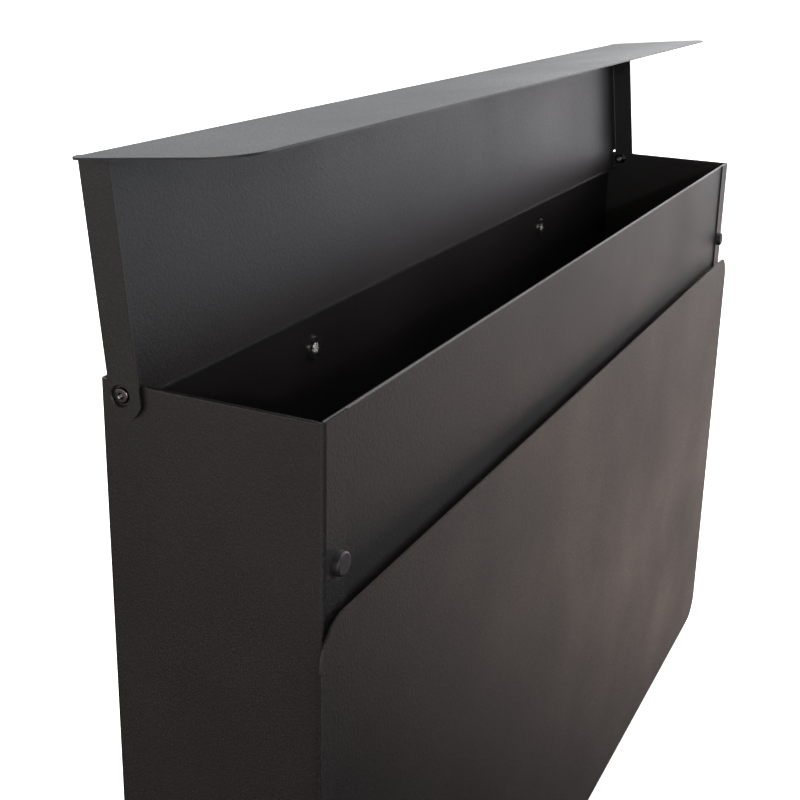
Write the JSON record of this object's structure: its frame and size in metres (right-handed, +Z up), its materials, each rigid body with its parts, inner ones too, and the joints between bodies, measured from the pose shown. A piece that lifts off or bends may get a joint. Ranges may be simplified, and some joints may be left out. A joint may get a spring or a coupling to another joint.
{
  "type": "wall mounted mailbox",
  "caption": "Wide, shallow wall mailbox in folded sheet steel, with an open top, a stood-off front plate with rounded corners, and a flanged lid hinged at the back.",
  "frame": {"origin": "on the wall plane, at the centre of the rectangle of wall holes, which is also the middle of the box's width and height", "axes": "+Y points back into the wall, so the front faces -Y; +Z is up; +X runs along the box's width"},
  "size_m": [0.696, 0.1156, 0.5263],
  "materials": {
    "black_coat": "fine-textured matt powder coat",
    "black_screw": "satin black",
    "black_rubber": "matt rubber",
    "bright_zinc": "bright zinc plate"
  },
  "bodies": {
    "box": {"left_side_panel": "black_coat", "right_side_panel": "black_coat", "rear_panel": "black_coat", "front_panel": "black_coat", "bottom_panel": "black_coat", "wall_bushings": "bright_zinc", "front_plate": "black_coat", "plate_studs": "bright_zinc", "plate_spacers": "black_rubber", "plate_nuts": "bright_zinc", "left_bumper": "black_rubber", "right_bumper": "black_rubber", "left_pivot_screw": "black_screw", "right_pivot_screw": "black_screw", "left_inner_washer": "black_screw", "right_inner_washer": "black_screw", "left_lock_nut": "black_screw", "right_lock_nut": "black_screw"},
    "lid": {"lid_shell": "black_coat"}
  },
  "joints": [
    {"name": "lid_hinge", "type": "hinge", "parent": "box", "child": "lid", "pos_m": [0, -0.018, 0.2073], "axis": [1, 0, 0], "range_deg": [0, 95.8]}
  ]
}
